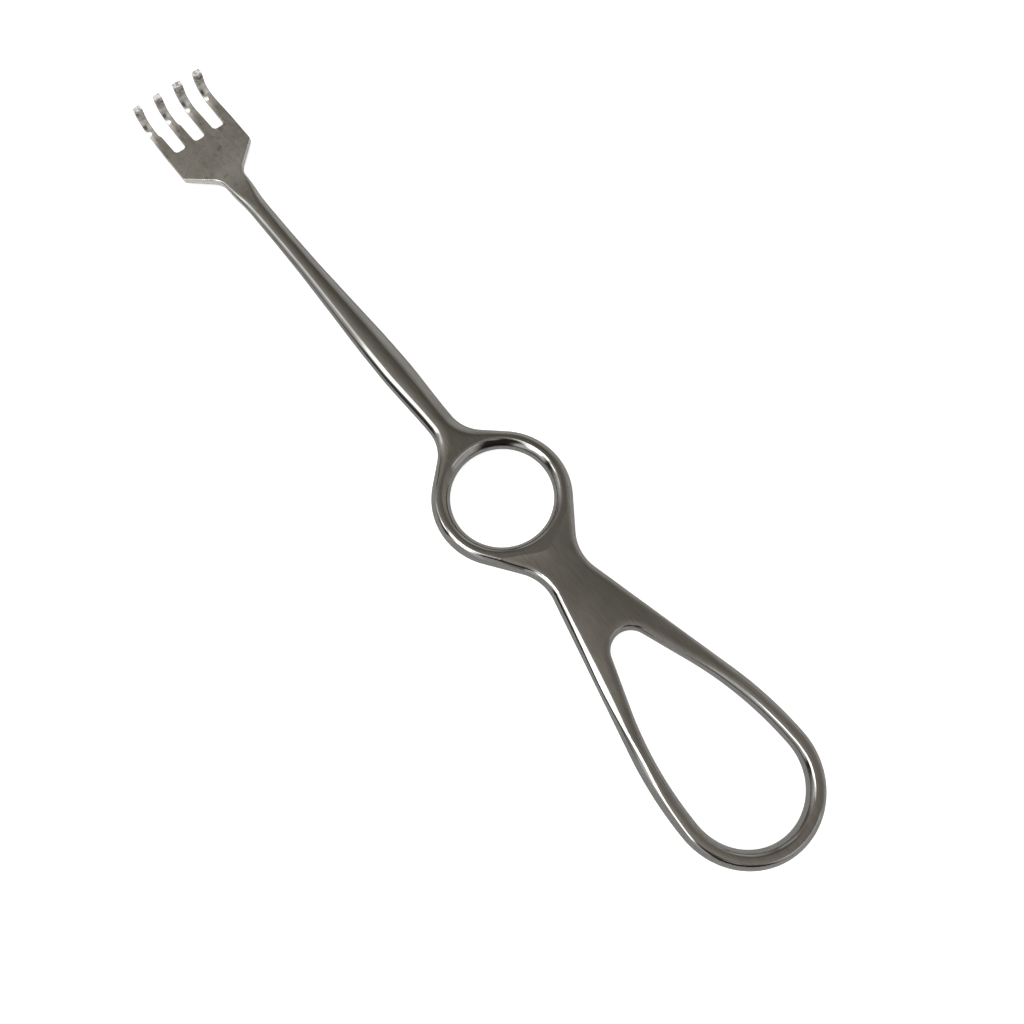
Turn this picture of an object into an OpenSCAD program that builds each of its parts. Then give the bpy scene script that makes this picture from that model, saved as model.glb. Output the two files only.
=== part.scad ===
// Hand-held rake retractor with four blunt hooked prongs.
// It is one steel forging, so the nodes are regions of one body that meet face to face.
// X runs along the tool towards the prongs, Z is the side that the hooks rise to, and the
// origin is the centre of the finger ring on the mid-plane of the handle.

/* [Handle] */
// Thickness of the loop, the web and the ring
handle_t = 4.2; // [3.6:0.1:4.8]
// Distance from the ring's centre to the far end of the loop
loop_reach = 88.95; // [84:0.05:94]
// Width of the loop's bar
bar_w = 3.8; // [3.2:0.1:4.2]
// Outer radius of the round end of the loop
bow_r = 15.5; // [14:0.1:17]
// Outer radius of the long curve along each side of the loop
side_r = 74; // [66:1:82]
// Angle of the arms to the axis, on their outer edges
arm_angle = 13.7; // [12.5:0.1:14.5]
// Angle of the arms to the axis, on their inner edges
throat_angle = 20; // [18:0.5:22]
// Radius of the pointed end of the loop's opening
throat_r = 4.15; // [3.4:0.05:5]
// Fillet between the arms and the flare to the ring
waist_r = 9.8; // [8:0.1:11]
// Angle of the flare that runs from the waist onto the ring
flare_angle = 36; // [33:0.5:38]

/* [Finger ring] */
// Radius of the finger hole
hole_r = 10.8; // [10:0.1:11.5]
// Outer radius of the ring
ring_r = 14.75; // [14.2:0.05:15.5]
// Angle of the ring's shoulders to the axis, where they run onto the shank
shoulder_angle = 47.5; // [44:0.5:50]
// Fillet between the ring's shoulders and the shank
shank_fillet_r = 8.5; // [7:0.1:10]

/* [Shank] */
// Half the width of the shank where it leaves the ring
shank_root_w = 3.05; // [2.8:0.05:3.3]
// Half the width of the shank where it is widest
shank_belly_w = 3.5; // [3.3:0.05:3.8]
// Half the width of the shank at its thin end
neck_w = 2.25; // [2:0.05:2.5]
// Thickness of the shank at its thin end
neck_t = 2.7; // [2.2:0.1:3.2]
// Where the shank ends and the rake plate begins
plate_start = 97; // [95:0.5:98]

/* [Rake] */
// Thickness of the plate and the prongs
plate_t = 1.6; // [1.4:0.1:1.8]
// Distance from one prong to the next
prong_pitch = 5.35; // [5:0.05:5.6]
// Width of a prong at its root
prong_w = 2.5; // [2.2:0.05:2.8]
// Width of a prong at its hook
hook_w = 2.2; // [1.9:0.05:2.4]
// Bottom of the slots between the prongs
slot_start = 114.3; // [112:0.1:116]
// Radius of the corners at the bottom of each slot
slot_corner_r = 0.9; // [0.5:0.1:1.2]
// Centre of the hooks' bend, from the ring's centre
bend_x = 121.9; // [120:0.1:123]
// Radius of the inside of the bend
bend_r = 2.5; // [2:0.1:3]
// Angle that the prongs are bent through
bend_angle = 102; // [90:1:110]
// Length of the straight end of each hook
tip_l = 3.6; // [2.5:0.1:4.5]
// Angle of the shoulders where the shank opens into the plate
plate_flare = 48; // [42:1:54]
// Fillet between the shank and the plate's shoulders
plate_fillet_r = 4.5; // [3:0.1:6]

/* [Hidden] */
$fn = 96;
PRONGS = 4;
PLAIN = "silver";
SATIN = "darkgray";

// The rounded edge of the handle: a circle this far in from the edge, of this radius
edge_in = 2.14;
edge_r = 2.32;
// How deep the rounded rim goes before the flat plate takes over, and where the plate starts
rim_depth = 2.1;
fill_inset = 1.6;
// How far the web's flat starts inside the arms' ends
weld = 0.3;

// The handle's outer edge, as a start [x, y, heading] and pieces [radius, turn] or [0, length]
side_start = [bow_r - loop_reach, bow_r, 0];
arm_start = travel(side_start, [side_r, -arm_angle]);
flare_end = [-ring_r * sin(flare_angle), ring_r * cos(flare_angle), flare_angle];
waist_corner = crossing(arm_start, flare_end);
waist_tangent = waist_r * tan((flare_angle + arm_angle) / 2);
waist_start = backed_off(waist_corner, -arm_angle, waist_tangent);
flare_start = travel(waist_start, [waist_r, flare_angle + arm_angle]);
flare_l = norm(xy(flare_end) - xy(flare_start));
shoulder_start = travel(flare_end, [ring_r, -flare_angle - shoulder_angle]);
shoulder_l = shoulder_length();
shank_fillet_start = travel(shoulder_start, [0, shoulder_l]);
shank_start = travel(shank_fillet_start, [shank_fillet_r, shoulder_angle]);
waist = travel(waist_start, [waist_r, arm_angle]);
arm_l = norm(xy(waist_start) - xy(arm_start));

// The edge of the loop's opening, which runs beside the outer edge and then closes faster
opening_r = side_r - bar_w;
opening_start = travel([side_start.x, bow_r - bar_w, 0], [opening_r, -arm_angle]);
throat_start = travel(opening_start, [opening_r, arm_angle - throat_angle]);
throat_l = (throat_start.y - throat_r * cos(throat_angle)) / sin(throat_angle);
throat_end = travel(throat_start, [0, throat_l]);

// Rake
rake_half_w = (PRONGS - 1) / 2 * prong_pitch + prong_w / 2;
prong_start = slot_start + slot_corner_r + 0.2;
plate_corner_x = plate_start + 10.1;
corner_r = 0.9;
plate_edge_w = neck_w + 0.45;

// Geometry of paths -------------------------------------------------------------

function xy(p) = [p.x, p.y];

// The place and heading reached from p along one piece of path
function travel(p, piece) =
    piece[0] == 0
    ? [p.x + piece[1] * cos(p[2]), p.y + piece[1] * sin(p[2]), p[2]]
    : let(r = sign(piece[1]) * piece[0], h = p[2] + piece[1])
      [p.x + r * (sin(h) - sin(p[2])), p.y - r * (cos(h) - cos(p[2])), h];

// Where the straight line ahead of p meets the straight line through q
function crossing(p, q) =
    let(d = sin(q[2] - p[2]))
    let(s = ((q.x - p.x) * sin(q[2]) - (q.y - p.y) * cos(q[2])) / d)
    [p.x + s * cos(p[2]), p.y + s * sin(p[2])];

// The place that lies distance l before p on a line of this heading
function backed_off(p, heading, l) = [p.x - l * cos(heading), p.y - l * sin(heading), heading];

// Length of the straight shoulder between the ring and the shank's fillet
function shoulder_length() =
    (shoulder_start.y - shank_root_w - shank_fillet_r * (1 - cos(shoulder_angle)))
    / sin(shoulder_angle);

// The point beside p, moved sideways to the right by inset
function beside(p, inset) = [p.x + inset * sin(p[2]), p.y - inset * cos(p[2])];

// Points along a piece of path from p, moved sideways to the right by inset
function arc_points(p, piece, inset, steps = 8) = [
    for (i = [0 : steps]) beside(travel(p, [piece[0], piece[1] * i / steps]), inset)
];

function reversed(points) = [for (i = [len(points) - 1 : -1 : 0]) points[i]];

function mirrored(points) = [for (i = [len(points) - 1 : -1 : 0]) [points[i].x, -points[i].y]];

// Profiles and sweeps -----------------------------------------------------------

// Half of a rounded bar: x is the depth in from the edge
module rim_profile(depth = rim_depth) {
    intersection() {
        translate([0, -handle_t / 2]) square([depth, handle_t]);
        translate([edge_in, 0]) circle(r = edge_r);
    }
}

// A whole bar with both edges rounded
module bar_profile(width) {
    intersection() {
        rim_profile(width);
        translate([width - edge_in, 0]) circle(r = edge_r);
    }
}

// Sweeps a profile along one piece of path, with the metal on the right (1) or the left (-1)
module sweep(p, piece, side = 1) {
    if (piece[0] == 0) {
        translate([p.x, p.y, 0]) rotate([90, 0, p[2] + 90])
            linear_extrude(piece[1]) mirror([side > 0 ? 0 : 1, 0]) rotate(180) children();
    } else {
        turn = sign(piece[1]);
        centre = [p.x - turn * piece[0] * sin(p[2]), p.y + turn * piece[0] * cos(p[2]), 0];
        from = p[2] - 90 * turn + min(piece[1], 0);
        translate(centre) rotate(from) rotate_extrude(angle = abs(piece[1]))
            translate([piece[0], 0]) mirror([turn * side > 0 ? 0 : 1, 0]) children();
    }
}

module both_sides() {
    children();
    mirror([0, 1, 0]) children();
}

// A flat plate of the handle's thickness, or a cutter that stands past both its faces
module plate_of(points, past = 0) {
    translate([0, 0, -handle_t / 2 - past]) linear_extrude(handle_t + 2 * past) polygon(points);
}

// Handle ------------------------------------------------------------------------

module handle_bow() {
    color(PLAIN) sweep([side_start.x, -bow_r, 180], [bow_r, -180]) bar_profile(bar_w);
}

module handle_side_left() {
    color(PLAIN) sweep(side_start, [side_r, -arm_angle]) bar_profile(bar_w);
}

module handle_side_right() {
    mirror([0, 1, 0]) handle_side_left();
}

// Outline of the flat of the web, from just inside the arms' ends to a little past the waist
function web_flat() = concat(
    [beside(travel(arm_start, [0, weld]), fill_inset)],
    arc_points(waist_start, [waist_r, 2 * arm_angle], fill_inset, 5)
);

// One side of the loop's opening, and the whole outline round its pointed end
function throat_side() =
    arc_points(opening_start, [opening_r, arm_angle - throat_angle], -fill_inset, 2);
function throat_flat() = concat(
    throat_side(),
    arc_points(throat_end, [throat_r, 2 * (throat_angle - 90)], -fill_inset, 10),
    mirrored(throat_side())
);

module handle_web() {
    color(PLAIN) difference() {
        union() {
            both_sides() {
                sweep(arm_start, [0, arm_l]) rim_profile();
                sweep(waist_start, [waist_r, 2 * arm_angle]) rim_profile();
                sweep(opening_start, [opening_r, arm_angle - throat_angle], -1) rim_profile();
                sweep(throat_start, [0, throat_l], -1) rim_profile();
            }
            sweep(throat_end, [throat_r, 2 * (throat_angle - 90)], -1) rim_profile();
            difference() {
                plate_of(concat(web_flat(), mirrored(web_flat())));
                plate_of(throat_flat(), 1);
            }
        }
        translate([waist.x, -bow_r, -handle_t]) cube([bow_r, 2 * bow_r, 2 * handle_t]);
    }
}

// Outline of the flat from the waist, round the ring and onto the shank
function ring_flat() = concat(
    arc_points(waist, [waist_r, flare_angle], fill_inset, 4),
    arc_points(flare_end, [ring_r, -flare_angle - shoulder_angle], fill_inset, 12),
    arc_points(shank_fillet_start, [shank_fillet_r, shoulder_angle], fill_inset, 5)
);

module finger_ring() {
    color(PLAIN) {
        rotate_extrude() translate([hole_r, 0]) rim_profile();
        both_sides() {
            sweep(waist, [waist_r, flare_angle]) rim_profile();
            sweep(flare_start, [0, flare_l]) rim_profile();
            sweep(flare_end, [ring_r, -flare_angle - shoulder_angle]) rim_profile();
            sweep(shoulder_start, [0, shoulder_l]) rim_profile();
            sweep(shank_fillet_start, [shank_fillet_r, shoulder_angle]) rim_profile();
        }
        difference() {
            plate_of(concat(ring_flat(), mirrored(ring_flat())));
            cylinder(r = hole_r + fill_inset, h = 2 * handle_t, center = true);
        }
    }
}

// Shank ---------------------------------------------------------------------------

// Half outlines of the shank: its width, its thickness and the round stock that its corners follow
shank_width = [[shank_start.x, shank_root_w], [36, shank_belly_w], [46, 3.35], [58, 2.85],
               [70, 2.4], [80, neck_w], [93, neck_w], [plate_start, plate_edge_w]];
shank_side = [[shank_start.x, handle_t / 2], [46, handle_t / 2], [70, 1.75],
              [plate_start, neck_t / 2]];
shank_round = [[shank_start.x, 3.2], [36, 3.62], [46, 3.5], [58, 3.0], [70, 2.6], [80, 2.42],
               [93, 2.42], [plate_start, 2.85]];

module shank() {
    color(PLAIN) intersection() {
        translate([0, 0, -5]) linear_extrude(10)
            polygon(concat(shank_width, mirrored(shank_width)));
        rotate([90, 0, 0]) linear_extrude(20, center = true)
            polygon(concat(shank_side, mirrored(shank_side)));
        rotate([0, 90, 0]) rotate_extrude() rotate(90) mirror([0, 1])
            polygon(concat([[shank_start.x, 0]], [for (p = shank_round) [p.x, -p.y]],
                           [[plate_start, 0]]));
    }
}

// Rake ----------------------------------------------------------------------------

plate_fillet_start = [
    plate_corner_x - (rake_half_w - plate_edge_w - plate_fillet_r * (1 - cos(plate_flare)))
    / tan(plate_flare) - plate_fillet_r * sin(plate_flare),
    plate_edge_w, 0
];

function plate_half() = concat(
    [[plate_start, plate_edge_w]],
    arc_points(plate_fillet_start, [plate_fillet_r, plate_flare], 0),
    arc_points([plate_corner_x - corner_r * tan(plate_flare / 2) * cos(plate_flare),
                rake_half_w - corner_r * tan(plate_flare / 2) * sin(plate_flare), plate_flare],
               [corner_r, -plate_flare], 0, 4),
    [[prong_start, rake_half_w]]
);

plate_side = [[plate_start, neck_t / 2], [100.5, 1.1], [104.5, plate_t / 2],
              [prong_start, plate_t / 2]];

module slot() {
    slot_w = prong_pitch - prong_w;
    translate([slot_start + slot_corner_r, -slot_w / 2, -plate_t])
        cube([10, slot_w, 2 * plate_t]);
    translate([slot_start, -slot_w / 2 + slot_corner_r, -plate_t])
        cube([10, slot_w - 2 * slot_corner_r, 2 * plate_t]);
    for (side = [-1, 1])
        translate([slot_start + slot_corner_r, side * (slot_w / 2 - slot_corner_r), -plate_t])
            cylinder(r = slot_corner_r, h = 2 * plate_t);
}

module rake_plate() {
    color(SATIN) difference() {
        intersection() {
            translate([0, 0, -5]) linear_extrude(10)
                polygon(concat(plate_half(), mirrored(plate_half())));
            rotate([90, 0, 0]) linear_extrude(30, center = true)
                polygon(concat(plate_side, mirrored(plate_side)));
        }
        for (gap = [-1 : 1]) translate([0, gap * prong_pitch, 0]) slot();
    }
}

// One face of a prong seen from the side, on the inside (-1) or the outside (1) of its bend
function prong_face(side) = let(
    bend = [bend_r + plate_t / 2, bend_angle],
    start = [bend_x, 0, 0],
    tip = travel(travel(start, bend), [0, tip_l])
) concat(
    [[prong_start, -side * plate_t / 2]],
    arc_points(start, bend, side * plate_t / 2, 12),
    [beside(tip, side * plate_t / 2)]
);

module prong() {
    color(SATIN) intersection() {
        rotate([90, 0, 0]) linear_extrude(prong_w, center = true)
            polygon(concat(prong_face(1), reversed(prong_face(-1))));
        translate([0, 0, -plate_t]) linear_extrude(20) polygon([
            [prong_start, -prong_w / 2], [bend_x - 2, -hook_w / 2], [prong_start + 20, -hook_w / 2],
            [prong_start + 20, hook_w / 2], [bend_x - 2, hook_w / 2], [prong_start, prong_w / 2]
        ]);
    }
}

module prong_at(n) {
    translate([0, (n - (PRONGS + 1) / 2) * prong_pitch, 0]) prong();
}

module prong_1() { prong_at(1); }
module prong_2() { prong_at(2); }
module prong_3() { prong_at(3); }
module prong_4() { prong_at(4); }

rake_plate();
prong_1();
prong_2();
prong_3();
prong_4();
shank();
finger_ring();
handle_web();
handle_side_left();
handle_side_right();
handle_bow();
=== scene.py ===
"""A four-pronged rake retractor: one polished steel forging lying on a white table.

Lengths in the shape sections are millimetres in the CAD frame, and the meshes are
turned into metres at the end. The steel is two implicit surfaces, the body and the
head. They are meshed as three skins, which are cut at the CAD nodes' faces.
"""

import math

import bmesh
import bpy
import numpy as np
from mathutils import Matrix, Vector


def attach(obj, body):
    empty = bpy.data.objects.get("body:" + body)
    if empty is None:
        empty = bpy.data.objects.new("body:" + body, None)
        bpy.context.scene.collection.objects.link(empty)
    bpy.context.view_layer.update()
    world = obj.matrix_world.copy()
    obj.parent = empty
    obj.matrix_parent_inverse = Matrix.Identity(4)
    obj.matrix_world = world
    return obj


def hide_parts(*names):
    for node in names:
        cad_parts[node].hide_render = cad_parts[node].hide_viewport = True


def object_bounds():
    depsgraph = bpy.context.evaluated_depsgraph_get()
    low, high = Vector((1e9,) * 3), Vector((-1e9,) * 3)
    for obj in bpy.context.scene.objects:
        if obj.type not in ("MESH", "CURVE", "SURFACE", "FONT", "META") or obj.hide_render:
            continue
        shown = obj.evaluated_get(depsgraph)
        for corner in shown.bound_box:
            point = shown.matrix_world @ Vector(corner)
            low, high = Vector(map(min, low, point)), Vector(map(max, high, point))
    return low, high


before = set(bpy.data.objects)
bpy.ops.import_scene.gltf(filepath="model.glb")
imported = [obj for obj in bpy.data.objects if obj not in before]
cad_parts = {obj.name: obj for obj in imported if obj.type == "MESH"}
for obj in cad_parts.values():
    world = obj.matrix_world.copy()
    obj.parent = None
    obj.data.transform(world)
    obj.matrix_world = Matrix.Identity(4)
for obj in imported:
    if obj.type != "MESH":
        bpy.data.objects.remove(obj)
cad_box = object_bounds()
MM = 0.001
FAR, TINY = 1e3, 1e-9

# ---------------------------------------------------------------- outline


def path(start, pieces):
    """Primitives of a tangent-continuous path, and where it ends.

    A piece is (radius, turn in degrees) for an arc and (0, length) for a line.
    """
    x, y, heading = start
    made = []
    for radius, amount in pieces:
        h = math.radians(heading)
        if radius == 0:
            made.append(("line", x, y, math.cos(h), math.sin(h), amount))
            x += amount * math.cos(h)
            y += amount * math.sin(h)
            continue
        side = math.copysign(1.0, amount)
        cx = x - side * radius * math.sin(h)
        cy = y + side * radius * math.cos(h)
        first = math.atan2(y - cy, x - cx)
        made.append(("arc", cx, cy, radius, side, first, math.radians(abs(amount))))
        heading += amount
        h = math.radians(heading)
        x = cx + side * radius * math.sin(h)
        y = cy - side * radius * math.cos(h)
    return made, (x, y, heading)


def nearest(best, d, there):
    """Keeps the signed distance of least size, where a primitive faces the point."""
    d = np.where(there, d, FAR)
    return np.where(np.abs(d) < np.abs(best), d, best)


JOIN_SLACK = 1e-6


def distance(primitives, x, y):
    """Signed distance to a path, positive on its right-hand side."""
    best = np.full(np.broadcast(x, y).shape, FAR)
    for p in primitives:
        if p[0] == "line":
            _, px, py, ux, uy, length = p
            along = (x - px) * ux + (y - py) * uy
            d = (x - px) * uy - (y - py) * ux
            there = (along > -JOIN_SLACK) & (along < length + JOIN_SLACK)
        else:
            _, cx, cy, radius, side, first, span = p
            d = side * (np.hypot(x - cx, y - cy) - radius)
            spare = 0.5 * (2 * math.pi - span)
            turned = side * (np.arctan2(y - cy, x - cx) - first)
            turned = np.mod(turned + spare, 2 * math.pi) - spare
            there = (turned > -JOIN_SLACK) & (turned < span + JOIN_SLACK)
        best = nearest(best, d, there)
    return best


# radii, widths and places in millimetres, and angles in degrees unless made radians
BOW_X, BOW_R, BAR_W = -73.45, 15.5, 3.8
SIDE_R, ARM_ANGLE, THROAT_ANGLE, THROAT_R = 74.0, 13.7, 20.0, 4.15
WAIST_R, FLARE_ANGLE = 9.8, 36.0
HOLE_R, RING_R = 10.8, 14.75
SHOULDER_ANGLE, SHANK_FILLET_R, SHANK_ROOT_W = 47.5, 8.5, 3.05
SHANK_X = 20.951
PLATE_EDGE_Y, PLATE_FILLET_X, PLATE_FILLET_R, PLATE_FLARE = 2.7, 99.18, 4.5, 48.0
PLATE_HALF_W, CORNER_R = 9.275, 0.9
SLOT_X, SLOT_HALF_W, SLOT_R, PITCH = 114.3, 1.425, 0.9, 5.35
PRONG_X, TAPER = 115.4, 0.15
# the plate's straight side runs on past the prongs' ends
PAST_PRONGS = 40
BEND_X, BEND_R, BEND_ANGLE, TIP_L = 121.9, 3.3, math.radians(102), 3.6
# half the plate's thickness
PLATE_T = 0.8
# the prongs' crown: curvature, how far its ridge lies to the side, length it grows over
PRONG_CURVATURE, CROWN_SHIFT, PRONG_CROWN_L = 0.27, 0.45, 6.5
# two prongs step in before the bend: where, over what length, by how much
SHOULDER_X, SHOULDER_L, SHOULDER_W = 120.3, 0.9, 0.28
TIP_SLANT, TIP_HALF_W, TIP_EDGE = 0.06, 1.1, 0.35
# above this height there are only hooks; a point belongs to a hook's straight tip only
# if its turn falls short of the bend's by less than this
HOOKS_ONLY_Z, TIP_TURN_MARGIN = 2.4, 1.2
END_S = BEND_X + BEND_R * BEND_ANGLE + TIP_L
BEND_Z = BEND_R

side_end = path((BOW_X, BOW_R, 0), [(SIDE_R, -ARM_ANGLE)])[1]
ring_end = (
    -RING_R * math.sin(math.radians(FLARE_ANGLE)),
    RING_R * math.cos(math.radians(FLARE_ANGLE)),
)


def meeting(p, p_angle, q, q_angle):
    """How far along p's line, and how far along q's, the two lines meet."""
    a, b = math.radians(p_angle), math.radians(q_angle)
    dx, dy = q[0] - p[0], q[1] - p[1]
    along_p = (dx * math.sin(b) - dy * math.cos(b)) / math.sin(b - a)
    along_q = (dx * math.sin(a) - dy * math.cos(a)) / math.sin(b - a)
    return along_p, along_q


to_corner, past_corner = meeting(side_end, -ARM_ANGLE, ring_end, FLARE_ANGLE)
waist_tangent = WAIST_R * math.tan(math.radians(FLARE_ANGLE + ARM_ANGLE) / 2)
arm_l = to_corner - waist_tangent
flare_l = -past_corner - waist_tangent
shoulder_y = RING_R * math.cos(math.radians(SHOULDER_ANGLE))
shoulder_l = (
    shoulder_y
    - SHANK_ROOT_W
    - SHANK_FILLET_R * (1 - math.cos(math.radians(SHOULDER_ANGLE)))
) / math.sin(math.radians(SHOULDER_ANGLE))
handle_path, _ = path(
    (BOW_X - BOW_R, 0, 90),
    [
        (BOW_R, -90),
        (SIDE_R, -ARM_ANGLE),
        (0, arm_l),
        (WAIST_R, ARM_ANGLE + FLARE_ANGLE),
        (0, flare_l),
        (RING_R, -FLARE_ANGLE - SHOULDER_ANGLE),
        (0, shoulder_l),
        (SHANK_FILLET_R, SHOULDER_ANGLE),
    ],
)
opening_r = SIDE_R - BAR_W
throat_start = path((BOW_X, BOW_R - BAR_W, 0), [(opening_r, -THROAT_ANGLE)])[1]
throat_l = (
    throat_start[1] - THROAT_R * math.cos(math.radians(THROAT_ANGLE))
) / math.sin(math.radians(THROAT_ANGLE))
opening_path, _ = path(
    (BOW_X - BOW_R + BAR_W, 0, 90),
    [
        (BOW_R - BAR_W, -90),
        (opening_r, -THROAT_ANGLE),
        (0, throat_l),
        (THROAT_R, THROAT_ANGLE - 90),
    ],
)
flare = math.radians(PLATE_FLARE)
flare_rise = (
    PLATE_HALF_W
    - PLATE_EDGE_Y
    - (PLATE_FILLET_R + CORNER_R) * (1 - math.cos(flare))
)
plate_path, _ = path(
    (PLATE_FILLET_X, PLATE_EDGE_Y, 0),
    [
        (PLATE_FILLET_R, PLATE_FLARE),
        (0, flare_rise / math.sin(flare)),
        (CORNER_R, -PLATE_FLARE),
        (0, PAST_PRONGS),
    ],
)

# ------------------------------------------------------------ profiles along the tool


CURVE_STEP = 0.05


def smooth_curve(points, sigma):
    """A piecewise linear curve through the points, rounded off over a few sigma.

    A point is (x, value). Past the first and last points the value stays the same.
    """
    xs = np.arange(points[0][0], points[-1][0], CURVE_STEP)
    ys = np.interp(xs, [p[0] for p in points], [p[1] for p in points])
    half = int(4 * sigma / CURVE_STEP)
    kernel = np.exp(-0.5 * (np.arange(-half, half + 1) * CURVE_STEP / sigma) ** 2)
    padded = np.pad(ys, half, mode="edge")
    ys = np.convolve(padded, kernel / kernel.sum(), mode="valid")
    return lambda x: np.interp(x, xs, ys)


shank_width = smooth_curve(
    [
        (10, 3.05),
        (24, 3.05),
        (36, 3.5),
        (46, 3.35),
        (58, 2.85),
        (70, 2.4),
        (80, 2.25),
        (92, 2.25),
        (96.5, 2.7),
        (110, 2.7),
    ],
    sigma=1.1,
)
half_thickness = smooth_curve(
    [(-95, 2.1), (46, 2.1), (70, 1.75), (96, 1.38), (105, PLATE_T), (140, PLATE_T)],
    sigma=1.5,
)
PLATE_EDGE = 0.28
# the V-shaped step behind the ring: its apex, the slope of its sides, depth and length
RING_BACK, RING_BACK_SLOPE, WEB_STEP, STEP_L = -15.5, 0.55, 0.3, 2.2
# the web is crowned; the crown ends towards the loop and towards the ring
WEB_CURVATURE, LOOP_SIDE, RING_SIDE = 0.01, (-60, -40), (-24, -12)
# the loop's inner rounding: its reach, and its crest above the flats
HANDLE_EDGE, CREST = 2.0, 0.3
# the ring's inner rounding: reach, more of it towards the shank, crest
HOLE_REACH, HOLE_EXTRA, HOLE_TURN, HOLE_CREST = 2.3, 0.5, (20, 70), 0.25
CROWN_CURVATURE, CROWN_HALF_W, CROWN_END = 0.16, 2.0, (8, 16)
# the roundings' power: an ellipse's 2 on the shank, and less on the handle
SHANK_POWER, POWER_DROP, POWER_CHANGE = 2, 0.3, (8, 18)
PURE_SHANK_X = 18
# how widely two surfaces blend into each other where they meet
BODY_BLEND, OPENING_BLEND, PLATE_BLEND, SLOT_BLEND = 0.14, 0.12, 0.1, 0.08
# how far in from the outer edge its rounding reaches
edge_reach = smooth_curve(
    [
        (-95, 1.85),
        (-74, 1.9),
        (-60, 2.6),
        (-34, 3.1),
        (-20, 2.9),
        (-12, 2.1),
        (9, 2.1),
        (16.5, 3.3),
        (24, 3.05),
        (36, 3.5),
        (46, 3.35),
        (58, 2.85),
        (70, 2.4),
        (80, 2.25),
        (90, 2.25),
        (103, PLATE_EDGE),
        (140, PLATE_EDGE),
    ],
    sigma=1.2,
)
# how far the rounding's own crown stands above the flats, so that a crease parts them
edge_crest = smooth_curve([(-95, CREST), (8, CREST), (17, 0), (140, 0)], sigma=0.9)
# the rounding's height, as a share of the half thickness
PLATE_SHARE = PLATE_EDGE / PLATE_T
edge_depth = smooth_curve(
    [(-95, 1.0), (89, 1.0), (103, PLATE_SHARE), (140, PLATE_SHARE)], sigma=1.5
)

# ---------------------------------------------------------------- the body


def ramp(x, start, end):
    """0 before the start, 1 past the end, and smooth between them."""
    t = np.clip((x - start) / (end - start), 0, 1)
    return t * t * (3 - 2 * t)


NEVER_ZERO = 1e-12


def edge(d, az, top, reach, depth, power=2.0):
    """The rounding of an edge that lies at d = 0. Negative inside the metal."""
    out = np.maximum(reach - d, 0) / reach
    up = np.maximum(az - (top - depth), 0) / depth
    # beyond the rounding's reach only the height counts
    size = (out**power + up**power + NEVER_ZERO) ** (1 / power)
    return (size - 1) * np.minimum(reach, depth)


def crown_drop(d):
    """The crown between two edges is not flat but falls slightly towards each."""
    return 0.5 * CROWN_CURVATURE * np.maximum(CROWN_HALF_W - d, 0) ** 2


def smooth_max(a, b, width):
    """The greater of two fields, blended where they differ by less than the width."""
    overlap = np.maximum(width - np.abs(a - b), 0) / width
    return np.maximum(a, b) + overlap * overlap * width / 4


SLOPE_STEP = 0.1
# how far past the shank's ends the handle's and the plate's outlines still count
HANDLE_OVERLAP, PLATE_OVERLAP = 12, 6


def outer_distance(s, ay):
    """Signed distance to the tool's outer outline, positive in the metal."""
    width = shank_width(s)
    slope = shank_width(s + SLOPE_STEP) - shank_width(s - SLOPE_STEP)
    slope = slope / (2 * SLOPE_STEP)
    on_shank = (width - ay) / np.sqrt(1 + slope * slope)
    best = nearest(
        np.full(np.broadcast(s, ay).shape, FAR),
        on_shank,
        (s >= SHANK_X) & (s <= PLATE_FILLET_X),
    )
    for primitives, there in (
        (handle_path, s < SHANK_X + HANDLE_OVERLAP),
        (plate_path, s > PLATE_FILLET_X - PLATE_OVERLAP),
    ):
        if np.any(there):
            best = nearest(best, distance(primitives, s, ay), there)
    return best


def body(x, y, z):
    """The metal up to the plate: negative inside, in millimetres."""
    ay, az = np.abs(y), np.abs(z)
    half = half_thickness(x)
    outer = outer_distance(x, ay)
    crest = edge_crest(x)
    top = half + crest
    power = SHANK_POWER - POWER_DROP * (1 - ramp(x, *POWER_CHANGE))
    rounded = edge(outer, az, top, edge_reach(x), top * edge_depth(x), power)
    if np.min(x) >= PURE_SHANK_X:
        return smooth_max(az - half, rounded, BODY_BLEND)
    radius = np.hypot(x, y)
    turn = np.abs(np.degrees(np.arctan2(y, x)))
    hole = radius - HOLE_R
    opening = -distance(opening_path, x, ay)
    behind = np.maximum(RING_BACK + RING_BACK_SLOPE * np.sqrt(y * y + 1) - x, 0)
    on_web = ramp(x, *LOOP_SIDE)
    step = WEB_STEP * (1 - np.exp(-behind / STEP_L)) * on_web
    web_crown = 0.5 * WEB_CURVATURE * ay * ay * on_web * (1 - ramp(x, *RING_SIDE))
    step = step + web_crown
    fall = crown_drop(np.minimum(np.minimum(outer, hole), opening))
    crown = half - step - fall * (1 - ramp(x, *CROWN_END))
    f = smooth_max(az - crown, rounded, BODY_BLEND)
    reach = HOLE_REACH + HOLE_EXTRA * (1 - ramp(turn, *HOLE_TURN))
    rim = edge(hole, az, half + HOLE_CREST, reach, half + HOLE_CREST, power)
    bar = edge(opening, az, half + CREST, HANDLE_EDGE, half + CREST, power)
    return smooth_max(smooth_max(f, rim, OPENING_BLEND), bar, OPENING_BLEND)


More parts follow.
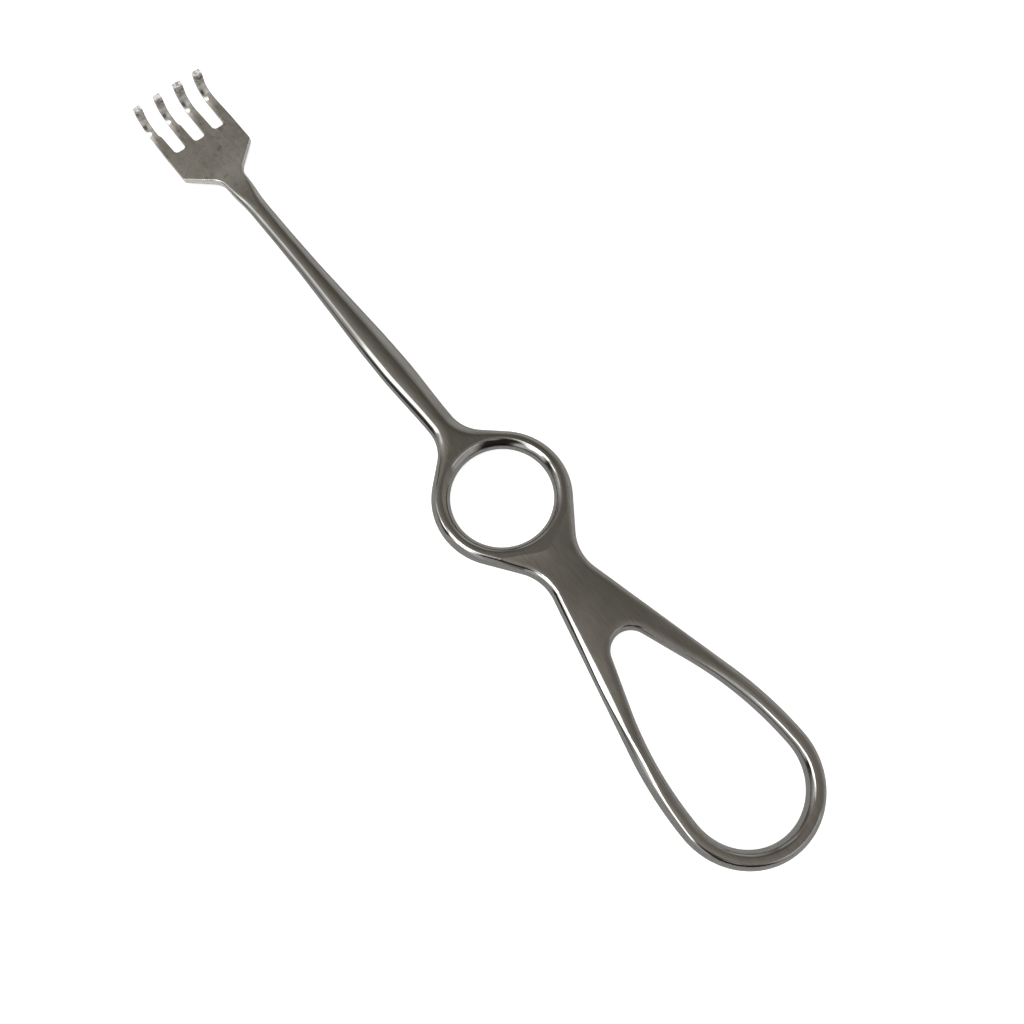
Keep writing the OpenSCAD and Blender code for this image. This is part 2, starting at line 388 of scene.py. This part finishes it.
def head(x, y, z):
    """The plate and the prongs, whose flat strip is bent round the hooks' centre."""
    over = (x > BEND_X) | (z > HOOKS_ONLY_Z)
    dx, dz = x - BEND_X, z - BEND_Z
    turned = np.arctan2(dx, -dz)
    turned = np.where(turned < -TINY, turned + 2 * math.pi, turned)
    cos_end, sin_end = math.cos(BEND_ANGLE), math.sin(BEND_ANGLE)
    past = dx * cos_end + dz * sin_end
    on_tip = over & (past > 0) & (turned > BEND_ANGLE - TIP_TURN_MARGIN)
    s_bend = BEND_X + BEND_R * turned
    t_bend = BEND_R - np.hypot(dx, dz)
    s_tip = BEND_X + BEND_R * BEND_ANGLE + past
    t_tip = BEND_R - (dx * sin_end - dz * cos_end)
    s = np.where(over, np.where(on_tip, s_tip, s_bend), x + 0 * z)
    t = np.where(over, np.where(on_tip, t_tip, t_bend), z + 0 * x)
    ay, at = np.abs(y), np.abs(t)
    half = half_thickness(s)
    narrower = TAPER * np.clip((s - PRONG_X) / (BEND_X - PRONG_X), 0, 1)
    outer = outer_distance(s, ay) - narrower
    across_prong = (ay - PITCH) * np.sign(y)
    across_prong = across_prong - np.sign(across_prong) * 0.5 * PITCH
    bulge = 0.5 * PRONG_CURVATURE * (across_prong + CROWN_SHIFT) ** 2
    bulge = bulge * ramp(s, SLOT_X, SLOT_X + PRONG_CROWN_L)
    f = smooth_max(
        at - half + bulge,
        edge(outer, at, half, edge_reach(s), half * edge_depth(s)),
        PLATE_BLEND,
    )
    for centre in (-PITCH, 0.0, PITCH):
        across = np.abs(y - centre) - (SLOT_HALF_W + narrower - SLOT_R)
        if centre >= 0:
            notch = SHOULDER_W * ramp(s, SHOULDER_X, SHOULDER_X + SHOULDER_L)
            across = across - notch * (y > centre)
        along = SLOT_X + SLOT_R - s
        slot = (
            np.hypot(np.maximum(across, 0), np.maximum(along, 0))
            + np.minimum(np.maximum(across, along), 0)
            - SLOT_R
        )
        rim = edge(slot, at, half, PLATE_EDGE, PLATE_EDGE)
        f = smooth_max(f, rim, SLOT_BLEND)
    slant = TIP_SLANT * (across_prong - TIP_HALF_W)
    end = edge(END_S - s + slant, at, half, TIP_EDGE, TIP_EDGE)
    return smooth_max(f, end, SLOT_BLEND)


GRADIENT_STEP = 0.01
# moving vertices onto the surface: rounds, least squared slope, longest move in pitches
ROUNDS, LEAST_SLOPE, LONGEST_MOVE = 5, 0.05, 0.4


def gradient(field, p):
    """The field's slope at each point, by central differences."""
    g = np.empty_like(p)
    for axis in range(3):
        q = p.copy()
        q[:, axis] += GRADIENT_STEP
        ahead = field(q[:, 0], q[:, 1], q[:, 2])
        q[:, axis] -= 2 * GRADIENT_STEP
        behind = field(q[:, 0], q[:, 1], q[:, 2])
        g[:, axis] = (ahead - behind) / (2 * GRADIENT_STEP)
    return g


def settle(field, vertices, pitch):
    """Moves vertices that lie near the field's zero surface onto it."""
    for _ in range(ROUNDS):
        g = gradient(field, vertices)
        f = field(vertices[:, 0], vertices[:, 1], vertices[:, 2])
        step = f[:, None] * g / np.maximum((g * g).sum(1), LEAST_SLOPE)[:, None]
        size = np.linalg.norm(step, axis=1, keepdims=True)
        step *= np.minimum(1, LONGEST_MOVE * pitch / np.maximum(size, TINY))
        vertices = vertices - step
    return vertices


def surface_net(field, low, high, pitch):
    """Vertices on the field's zero surface and the quads between them."""
    axes = [np.arange(a, b + pitch, pitch) for a, b in zip(low, high)]
    grid = field(
        axes[0][:, None, None], axes[1][None, :, None], axes[2][None, None, :]
    )
    inside = grid < 0
    nx, ny, nz = (len(a) - 1 for a in axes)
    corners = [(i, j, k) for i in (0, 1) for j in (0, 1) for k in (0, 1)]
    count = sum(
        inside[i : i + nx, j : j + ny, k : k + nz].astype(np.int8)
        for i, j, k in corners
    )
    cell = np.argwhere((count > 0) & (count < 8))
    index = np.full((nx, ny, nz), -1)
    index[cell[:, 0], cell[:, 1], cell[:, 2]] = np.arange(len(cell))
    value = {
        c: grid[cell[:, 0] + c[0], cell[:, 1] + c[1], cell[:, 2] + c[2]]
        for c in corners
    }
    total = np.zeros((len(cell), 3))
    hits = np.zeros(len(cell))
    for a in corners:
        for axis in range(3):
            if a[axis]:
                continue
            b = tuple(1 if i == axis else a[i] for i in range(3))
            crossing = (value[a] < 0) != (value[b] < 0)
            gap = np.where(crossing, value[a] - value[b], 1)
            place = np.tile(np.array(a, float), (len(cell), 1))
            place[:, axis] += value[a] / gap
            total += place * crossing[:, None]
            hits += crossing
    vertices = np.array(low) + pitch * (cell + total / hits[:, None])
    # a quad round each grid edge that the surface crosses, facing out of the metal
    quads = []
    for axis in range(3):
        u, v = (axis + 1) % 3, (axis + 2) % 3
        here = [slice(None)] * 3
        ahead = [slice(None)] * 3
        here[axis], ahead[axis] = slice(0, -1), slice(1, None)
        first, second = inside[tuple(here)], inside[tuple(ahead)]
        at = np.argwhere(first != second)
        at = at[(at[:, u] > 0) & (at[:, v] > 0)]
        at = at[(at[:, u] < index.shape[u]) & (at[:, v] < index.shape[v])]
        ring = []
        for du, dv in ((1, 1), (0, 1), (0, 0), (1, 0)):
            c = at.copy()
            c[:, u] -= du
            c[:, v] -= dv
            ring.append(index[c[:, 0], c[:, 1], c[:, 2]])
        quad = np.stack(ring, 1)
        leaving = first[at[:, 0], at[:, 1], at[:, 2]]
        quads.append(quad[leaving])
        quads.append(quad[~leaving][:, ::-1])
    return settle(field, vertices, pitch), np.concatenate(quads)


# ---------------------------------------------------------------- pieces


def cut(mesh, point, normal):
    """Removes what lies on the normal's side of a plane."""
    everything = mesh.verts[:] + mesh.edges[:] + mesh.faces[:]
    bmesh.ops.bisect_plane(
        mesh,
        geom=everything,
        dist=CUT_SLACK,
        plane_co=Vector(point),
        plane_no=Vector(normal),
        clear_outer=True,
    )


# vertices this far past a cutting plane are left out before the cut
CUT_MARGIN, CUT_SLACK = 1.5, 1e-7


def piece_mesh(name, skin, field, planes, keep=None):
    """A closed piece of the skin between planes, with the field's own normals."""
    vertices, quads = skin
    mesh = bmesh.new()
    wanted = np.ones(len(vertices), bool)
    for point, normal in planes:
        wanted &= (vertices - np.array(point)) @ np.array(normal) < CUT_MARGIN
    if keep:
        wanted &= keep(vertices)
    chosen = quads[wanted[quads].all(1)]
    used, chosen = np.unique(chosen, return_inverse=True)
    chosen = chosen.reshape(-1, 4)
    made = [mesh.verts.new(v) for v in vertices[used]]
    for quad in chosen:
        mesh.faces.new([made[i] for i in quad])
    for point, normal in planes:
        cut(mesh, point, normal)
    rim = [e for e in mesh.edges if e.is_boundary]
    caps = bmesh.ops.holes_fill(mesh, edges=rim, sides=0)["faces"]
    caps = bmesh.ops.triangulate(mesh, faces=caps)["faces"]
    bmesh.ops.recalc_face_normals(mesh, faces=mesh.faces[:])
    for face in mesh.faces:
        face.smooth = True
    mesh.faces.index_update()
    cap_faces = {f.index for f in caps}
    data = bpy.data.meshes.new(name)
    mesh.to_mesh(data)
    mesh.free()
    co = np.empty(len(data.vertices) * 3)
    data.vertices.foreach_get("co", co)
    co = co.reshape(-1, 3)
    normals = gradient(field, co)
    normals /= np.maximum(np.linalg.norm(normals, axis=1, keepdims=True), TINY)
    loop_normals = np.empty((len(data.loops), 3))
    for face in data.polygons:
        for loop in face.loop_indices:
            if face.index in cap_faces:
                loop_normals[loop] = face.normal
            else:
                loop_normals[loop] = normals[data.loops[loop].vertex_index]
    data.transform(Matrix.Scale(MM, 4))
    data.normals_split_custom_set(loop_normals.tolist())
    return data


def between(x0, x1):
    """The cutting planes of a stretch along X; None leaves that end uncut."""
    planes = []
    if x0 is not None:
        planes.append(((x0, 0, 0), (-1, 0, 0)))
    if x1 is not None:
        planes.append(((x1, 0, 0), (1, 0, 0)))
    return planes


WAIST_X, SHANK_END = -21.12, 97.0
# each skin: the field, the box it is looked for in, and the pitch of its mesh
body_skin = surface_net(body, (-89.2, -15.8, -2.35), (98.2, 15.8, 2.35), 0.25)
shank_skin = surface_net(body, (19.4, -4.9, -2.35), (98.2, 4.9, 2.35), 0.15)
head_skin = surface_net(head, (95.9, -9.6, -1.7), (126.4, 9.6, 8.0), 0.12)


def arm_plane(side, outward):
    """The radial face between an arm's curve and the web."""
    a = math.radians(ARM_ANGLE)
    point = (BOW_X, side * (BOW_R - SIDE_R), 0)
    normal = (outward * math.cos(a), -outward * side * math.sin(a), 0)
    return point, normal


# each piece: its cutting planes, and which vertices of the skin it takes, or None
HANDLE_PIECES = {
    "handle_bow": (between(None, BOW_X), None),
    "handle_side_left": (
        between(BOW_X, None) + [arm_plane(1, 1)],
        lambda v: v[:, 1] > 0,
    ),
    "handle_side_right": (
        between(BOW_X, None) + [arm_plane(-1, 1)],
        lambda v: v[:, 1] < 0,
    ),
    "handle_web": (
        [arm_plane(1, -1), arm_plane(-1, -1)] + between(None, WAIST_X),
        None,
    ),
    "finger_ring": (between(WAIST_X, SHANK_X), None),
}
SHANK_PIECES = {"shank": (between(SHANK_X, SHANK_END), None)}
HEAD_PIECES = {"rake_plate": (between(SHANK_END, PRONG_X), None)}
for number in range(4):
    middle = (number - 1.5) * PITCH
    HEAD_PIECES[f"prong_{number + 1}"] = (
        between(PRONG_X, None),
        lambda v, m=middle: np.abs(v[:, 1] - m) < 0.5 * PITCH,
    )

# ---------------------------------------------------------------- materials

POLISHED_DARK, POLISHED_LIGHT = (0.41, 0.4, 0.38), (0.47, 0.46, 0.44)
SATIN_DARK, SATIN_LIGHT = (0.55, 0.535, 0.49), (0.64, 0.62, 0.57)
# the second dark tone is for real stains and pits, and for painted shade up the hooks
LAY_DARK, STAIN_AND_SHADE = (0.3, 0.29, 0.26), (0.16, 0.125, 0.1)
# the first pale tone is painted light; the cut ends' own matt grey is partly painted light
# too
PAINTED_PALE_TONE, CUT_END = (0.9, 0.87, 0.82), (0.7, 0.69, 0.67)
# in metres along X: the polish turns to satin, the bends get a painted highlight and are
# rougher
SATIN_X, BEND_HIGHLIGHT_X, ROUGHER_X = (0.080, 0.104), (0.1195, 0.1215), (0.1175, 0.1215)
# in metres of height: the bends' painted highlight ends, painted shade grows up the hooks,
# the cut ends begin
BEND_HIGHLIGHT_Z, HOOK_SHADE_Z, CUT_END_Z = (0.0012, 0.0036), (0.003, 0.0062), (0.0068, 0.0072)
# a side face, by how upright its normal is; the plate's side faces get a pale painted
# reflection
SIDE_FACE = (0.5, 0.1)
# the textures, from coarse to fine: scale per metre, detail, seed, stretch along X
TEXTURES = {
    "patches": (160, 4.0, 1.0, 1),
    "waves": (220, 1.0, 4.0, 0.5),
    "spots": (520, 2.0, 6.0, 1),
    "lay": (700, 3.0, 2.0, 0.12),
    "hook_shade_mottle": (900, 3.0, 9.0, 1),
    "smears": (900, 4.0, 5.0, 1),
    "pits": (1500, 3.0, 4.0, 1),
    "pebbles": (1800, 3.0, 8.0, 1),
    "scratches": (2600, 1.0, 3.0, 0.05),
    "grain": (5200, 2.0, 11.0, 0.07),
}
SEED_SHIFT = (1.0, 0.7, 1.3)
BUMP_HEIGHT = 2.5e-5


def steel(name):
    """Ground steel, polished on the handle and worn to a satin on the rake.

    It has lay lines, fine scratches, faint stains, slight unevenness and painted light.
    """
    material = bpy.data.materials.new(name)
    material.use_nodes = True
    nodes, links = material.node_tree.nodes, material.node_tree.links
    shader = nodes["Principled BSDF"]
    place = nodes.new("ShaderNodeTexCoord")

    def noise(scale, detail, seed, stretch):
        mapping = nodes.new("ShaderNodeMapping")
        mapping.inputs["Scale"].default_value = (stretch, 1, 1)
        mapping.inputs["Location"].default_value = [seed * k for k in SEED_SHIFT]
        links.new(place.outputs["Object"], mapping.inputs["Vector"])
        node = nodes.new("ShaderNodeTexNoise")
        node.inputs["Scale"].default_value = scale
        node.inputs["Detail"].default_value = detail
        links.new(mapping.outputs["Vector"], node.inputs["Vector"])
        return node.outputs["Fac"]

    def separated(vector):
        node = nodes.new("ShaderNodeSeparateXYZ")
        links.new(vector, node.inputs["Vector"])
        return node.outputs

    def spread(value, low, high, span=(0.3, 0.7)):
        """Low to high while the value crosses the span, and no further."""
        node = nodes.new("ShaderNodeMapRange")
        node.inputs["From Min"].default_value = span[0]
        node.inputs["From Max"].default_value = span[1]
        node.inputs["To Min"].default_value = low
        node.inputs["To Max"].default_value = high
        links.new(value, node.inputs["Value"])
        return node.outputs["Result"]

    def computed(operation, *values):
        node = nodes.new("ShaderNodeMath")
        node.operation = operation
        for socket, value in zip(node.inputs, values):
            if isinstance(value, float):
                socket.default_value = value
            else:
                links.new(value, socket)
        return node.outputs["Value"]

    def scaled(value, factor):
        return computed("MULTIPLY", value, factor)

    def added(total, *values):
        for value in values:
            total = computed("ADD", total, value)
        return total

    def mixed(factor, first, second):
        node = nodes.new("ShaderNodeMix")
        node.data_type = "RGBA"
        for socket, source in (("Factor", factor), ("A", first), ("B", second)):
            if isinstance(source, tuple):
                node.inputs[socket].default_value = source + (1,)
            else:
                links.new(source, node.inputs[socket])
        return node.outputs["Result"]

    texture = {key: noise(*values) for key, values in TEXTURES.items()}
    position = separated(place.outputs["Object"])
    x, z = position["X"], position["Z"]
    upright = computed("ABSOLUTE", separated(place.outputs["Normal"])["Z"])
    satin_part = spread(x, 0, 1, SATIN_X)
    # the hooks' cut ends at the top: a matt grind, and their pale tone is partly painted
    # light
    cut_end = spread(z, 0, 1, CUT_END_Z)
    # the satin part's side faces are painted pale: a painted reflection
    pale_side_reflection = scaled(spread(upright, 0, 1, SIDE_FACE), satin_part)

    colour = mixed(
        satin_part,
        mixed(spread(texture["patches"], 0, 1), POLISHED_DARK, POLISHED_LIGHT),
        mixed(spread(texture["patches"], 0, 1), SATIN_DARK, SATIN_LIGHT),
    )
    # a painted highlight: a pale tone low down where the hooks begin to bend
    bend_painted_highlight = scaled(spread(x, 0, 0.8, BEND_HIGHLIGHT_X), spread(z, 1, 0, BEND_HIGHLIGHT_Z))
    stained = scaled(spread(texture["spots"], 0, 0.5, (0.6, 0.72)), satin_part)
    # painted shade: the hooks darken, mottled, from 3 mm up and all the way above 6 mm
    hook_painted_shade = spread(texture["hook_shade_mottle"], 0.1, 0.9, (0.42, 0.6))
    hook_painted_shade = scaled(hook_painted_shade, spread(z, 0, 1, HOOK_SHADE_Z))
    pitted = spread(texture["pits"], 0, 0.8, (0.48, 0.62))
    # painted light among the layers: pale sides, the bends' highlight, shade up the hooks
    for amount, layer in (
        (spread(texture["lay"], 0, 0.25, (0.45, 0.7)), LAY_DARK),
        (spread(texture["grain"], 0, 0.4, (0.4, 0.68)), LAY_DARK),
        (stained, STAIN_AND_SHADE),
        (pale_side_reflection, PAINTED_PALE_TONE),
        (bend_painted_highlight, PAINTED_PALE_TONE),
        (hook_painted_shade, STAIN_AND_SHADE),
        (cut_end, mixed(pitted, CUT_END, STAIN_AND_SHADE)),
    ):
        colour = mixed(amount, colour, layer)
    # the cut ends of the hooks are matt, and so in part are the plate's sides
    metallic = added(spread(z, 1, 0.45, CUT_END_Z), scaled(pale_side_reflection, -0.5))
    roughness = added(
        spread(texture["patches"], 0.075, 0.11),
        spread(texture["lay"], -0.015, 0.02),
        scaled(satin_part, 0.18),
        spread(x, 0, 0.02, ROUGHER_X),
        spread(texture["grain"], -0.01, 0.02),
        scaled(cut_end, 0.4),
        scaled(spread(texture["smears"], -0.03, 0.06), satin_part),
    )
    height = added(
        spread(texture["waves"], 0, 0.4, (0, 1)),
        spread(texture["lay"], 0, 0.08, (0, 1)),
        spread(texture["scratches"], 0, 0.03, (0.55, 0.75)),
        scaled(spread(texture["pebbles"], 0, 0.14, (0, 1)), satin_part),
    )
    bump = nodes.new("ShaderNodeBump")
    bump.inputs["Distance"].default_value = BUMP_HEIGHT
    links.new(height, bump.inputs["Height"])
    links.new(colour, shader.inputs["Base Color"])
    links.new(metallic, shader.inputs["Metallic"])
    links.new(roughness, shader.inputs["Roughness"])
    links.new(bump.outputs["Normal"], shader.inputs["Normal"])
    return material


polished = steel("polished_steel")
satin = steel("satin_steel")

for skin, field, parts, material, slot in (
    (body_skin, body, HANDLE_PIECES, polished, "polished_steel"),
    (shank_skin, body, SHANK_PIECES, polished, "polished_steel"),
    (head_skin, head, HEAD_PIECES, satin, "satin_steel"),
):
    for node, (planes, keep) in parts.items():
        data = piece_mesh("steel_" + node, skin, field, planes, keep)
        data.materials.append(material)
        piece = bpy.data.objects.new("steel_" + node, data)
        bpy.context.scene.collection.objects.link(piece)
        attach(piece, "root")
        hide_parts(node)

# ---------------------------------------------------------------- the two table sheets

FLOOR_Z, TABLE_SIZE, TABLE_GREY = cad_box[0].z, 6, 0.6


def table_top(name, glow, drop):
    """A plain matt sheet that fills the view, a little below the lowest point."""
    place = (0, 0, FLOOR_Z - drop)
    bpy.ops.mesh.primitive_plane_add(size=TABLE_SIZE, location=place)
    sheet = bpy.context.object
    sheet.name = name
    matt = bpy.data.materials.new(name)
    matt.use_nodes = True
    shader = matt.node_tree.nodes["Principled BSDF"]
    shader.inputs["Base Color"].default_value = (TABLE_GREY, TABLE_GREY, TABLE_GREY, 1)
    shader.inputs["Roughness"].default_value = 1.0
    shader.inputs["Specular IOR Level"].default_value = 0.0
    shader.inputs["Emission Color"].default_value = (1, 1, 1, 1)
    shader.inputs["Emission Strength"].default_value = glow
    sheet.data.materials.append(matt)
    return sheet


# the camera sees a white table, and the steel reflects a shaded one
white_table = table_top("white_table", glow=0.75, drop=1e-5)
white_table.visible_glossy = False
white_table.visible_diffuse = False
shaded_table = table_top("shaded_table", glow=0.0, drop=2e-5)
shaded_table.visible_camera = False

# ---------------------------------------------------------------- the light

# a part of the sky is given by the ranges of a direction's x and y that it covers
# lit screens round the table: x and y range, softness of the rim, radiance
SCREENS = (
    (0.02, 0.27, 0.12, 0.73, 0.03, 4.5),
    (-0.20, 0.12, 0.55, 0.91, 0.04, 3.2),
    (-0.55, 0.24, 0.82, 1.00, 0.08, 0.6),
    (0.32, 0.47, 0.47, 0.74, 0.03, 2.8),
    (0.45, 1.10, 0.45, 0.80, 0.25, 0.45),
    (0.47, 0.68, 0.46, 0.60, 0.06, 0.9),
    (0.30, 1.10, -1.10, -0.60, 0.22, 0.35),
    (0.72, 0.96, -0.42, -0.08, 0.08, 0.4),
    (-0.70, -0.60, -0.50, 0.05, 0.04, 0.8),
    (-1.00, -0.72, -0.60, 0.00, 0.08, 0.35),
    (-0.58, -0.40, 0.18, 0.38, 0.06, 0.6),
)
# the room's own dim light: an even level, and what three sides add to it, given by
# the direction's axis, where on it the side begins and is full, and its level
ROOM_LEVEL = 0.14
ROOM_SIDES = (("Y", -0.35, 0.2, 0.2), ("Y", -0.35, -0.9, 0.1), ("X", 0.35, -0.15, 0.1))
# dark curtains that hang before the room: x and y range, softness of the rim
CURTAINS = ((-1.1, -0.22, 0.12, 0.80, 0.10), (0.24, 0.50, 0.80, 1.1, 0.05))
CURTAIN_SHADE = 0.93
# low down towards +Y the room is darker: where by the direction's z and y, how much
HORIZON_Z, HORIZON_Y, HORIZON_SHADE = (0.42, 0.12), (-0.2, 0.4), 0.75
# the room's light is warm and the screens' is cool
ROOM_TINT, SCREEN_TINT, TINT_CHANGE = (1.07, 1, 0.9, 1), (0.97, 1, 1.04, 1), (0.02, 0.5)
BACKDROP = (0.95, 0.95, 0.95, 1)

world = bpy.data.worlds.new("studio")
bpy.context.scene.world = world
world.use_nodes = True
nodes, links = world.node_tree.nodes, world.node_tree.links
direction = nodes.new("ShaderNodeSeparateXYZ")
sky = nodes.new("ShaderNodeTexCoord")
links.new(sky.outputs["Generated"], direction.inputs["Vector"])


def combined(operation, a, b):
    node = nodes.new("ShaderNodeMath")
    node.operation = operation
    for socket, value in zip(node.inputs, (a, b)):
        if isinstance(value, (int, float)):
            socket.default_value = value
        else:
            links.new(value, socket)
    return node.outputs["Value"]


def soft_step(value, start, end):
    node = nodes.new("ShaderNodeMapRange")
    node.interpolation_type = "SMOOTHSTEP"
    node.inputs["From Min"].default_value = start
    node.inputs["From Max"].default_value = end
    links.new(value, node.inputs["Value"])
    return node.outputs["Result"]


def screen(x0, x1, y0, y1, soft, level):
    """The level inside a part of the sky, falling to 0 over its soft rim."""
    mask = level
    for axis, low, high in (("X", x0, x1), ("Y", y0, y1)):
        value = direction.outputs[axis]
        mask = combined("MULTIPLY", soft_step(value, low - soft, low + soft), mask)
        mask = combined("MULTIPLY", soft_step(value, high + soft, high - soft), mask)
    return mask


screens = 0.0
for values in SCREENS:
    screens = combined("ADD", screen(*values), screens)
room = ROOM_LEVEL
for axis, start, end, level in ROOM_SIDES:
    side = soft_step(direction.outputs[axis], start, end)
    room = combined("ADD", room, combined("MULTIPLY", side, level))
for values in CURTAINS:
    curtain = screen(*values, CURTAIN_SHADE)
    room = combined("MULTIPLY", combined("SUBTRACT", 1.0, curtain), room)
horizon = combined(
    "MULTIPLY",
    soft_step(direction.outputs["Z"], *HORIZON_Z),
    soft_step(direction.outputs["Y"], *HORIZON_Y),
)
shade = combined("MULTIPLY", horizon, HORIZON_SHADE)
room = combined("MULTIPLY", room, combined("SUBTRACT", 1.0, shade))
tint = nodes.new("ShaderNodeMix")
tint.data_type = "RGBA"
tint.inputs["A"].default_value = ROOM_TINT
tint.inputs["B"].default_value = SCREEN_TINT
links.new(soft_step(screens, *TINT_CHANGE), tint.inputs["Factor"])
studio = nodes["Background"]
links.new(tint.outputs["Result"], studio.inputs["Color"])
links.new(combined("ADD", screens, room), studio.inputs["Strength"])
# past the table's edge the eye meets a plain pale backdrop
backdrop = nodes.new("ShaderNodeBackground")
backdrop.inputs["Color"].default_value = BACKDROP
seen = nodes.new("ShaderNodeLightPath")
choice = nodes.new("ShaderNodeMixShader")
links.new(seen.outputs["Is Camera Ray"], choice.inputs[0])
links.new(studio.outputs["Background"], choice.inputs[1])
links.new(backdrop.outputs["Background"], choice.inputs[2])
links.new(choice.outputs["Shader"], nodes["World Output"].inputs["Surface"])

# a soft square light straight above the tool
OVERHEAD_SIZE, OVERHEAD_POWER, OVERHEAD_Z = 2.0, 22, 1.5
light = bpy.data.lights.new("overhead", "AREA")
light.shape = "SQUARE"
light.size = OVERHEAD_SIZE
light.energy = OVERHEAD_POWER
overhead = bpy.data.objects.new("overhead", light)
overhead.location = (0, 0, OVERHEAD_Z)
overhead.visible_glossy = False
overhead.visible_camera = False
bpy.context.scene.collection.objects.link(overhead)

# ---------------------------------------------------------------- the camera

# the photo's own camera, found from the handle's outline
SENSOR_W, FOCAL_PX, IMAGE_PX = 36.0, 950, 1024
CAMERA_PLACE = (-0.050803, 0.035714, 0.187395)
CAMERA_FORWARD = (0.239368, -0.179851, -0.954126)
CAMERA_UP = (0.742793, -0.598925, 0.299245)
camera_data = bpy.data.cameras.new("camera")
camera_data.sensor_width = SENSOR_W
camera_data.lens = FOCAL_PX / IMAGE_PX * SENSOR_W
camera_data.clip_start, camera_data.clip_end = 0.005, 10
camera = bpy.data.objects.new("camera", camera_data)
camera.location = CAMERA_PLACE
forward = Vector(CAMERA_FORWARD)
right = forward.cross(Vector(CAMERA_UP)).normalized()
upward = right.cross(forward).normalized()
camera.rotation_euler = Matrix((right, upward, -forward)).transposed().to_euler()
bpy.context.scene.collection.objects.link(camera)
bpy.context.scene.camera = camera
bpy.context.scene.view_settings.view_transform = "Standard"
